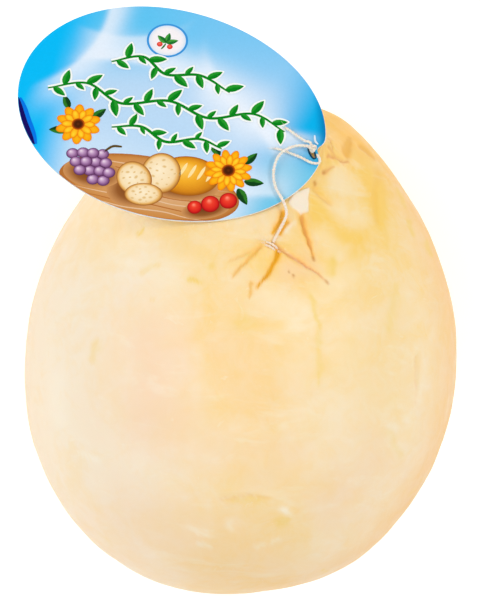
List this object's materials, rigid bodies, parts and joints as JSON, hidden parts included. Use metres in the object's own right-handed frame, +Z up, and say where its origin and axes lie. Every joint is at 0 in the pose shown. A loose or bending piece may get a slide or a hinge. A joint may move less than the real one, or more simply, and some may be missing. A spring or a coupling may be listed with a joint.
{
  "type": "kneaded cheese in natural casing",
  "caption": "Egg-shaped kneaded cheese in a pale natural casing, tied at its narrow end with twine that carries an oval printed card, lying on its side",
  "frame": {"origin": "middle of the flat spot that the cheese rests on, at table level", "axes": "+Z up, +Y along the cheese towards its narrower tied end, +X to the right as seen from above with the tied end away from the viewer"},
  "size_m": [0.1286, 0.1606, 0.1056],
  "materials": {
    "casing": "waxy, semi-translucent natural casing over pale yellow cheese",
    "printed_card": "gloss printed card",
    "twine": "twisted undyed twine"
  },
  "bodies": {
    "root": {"cheese": "casing", "card": "printed_card", "twine_loop": "twine", "twine_tail_upper": "twine", "twine_tail_lower": "twine", "twine_knot": "twine", "casing_stitch": "twine"}
  },
  "joints": []
}
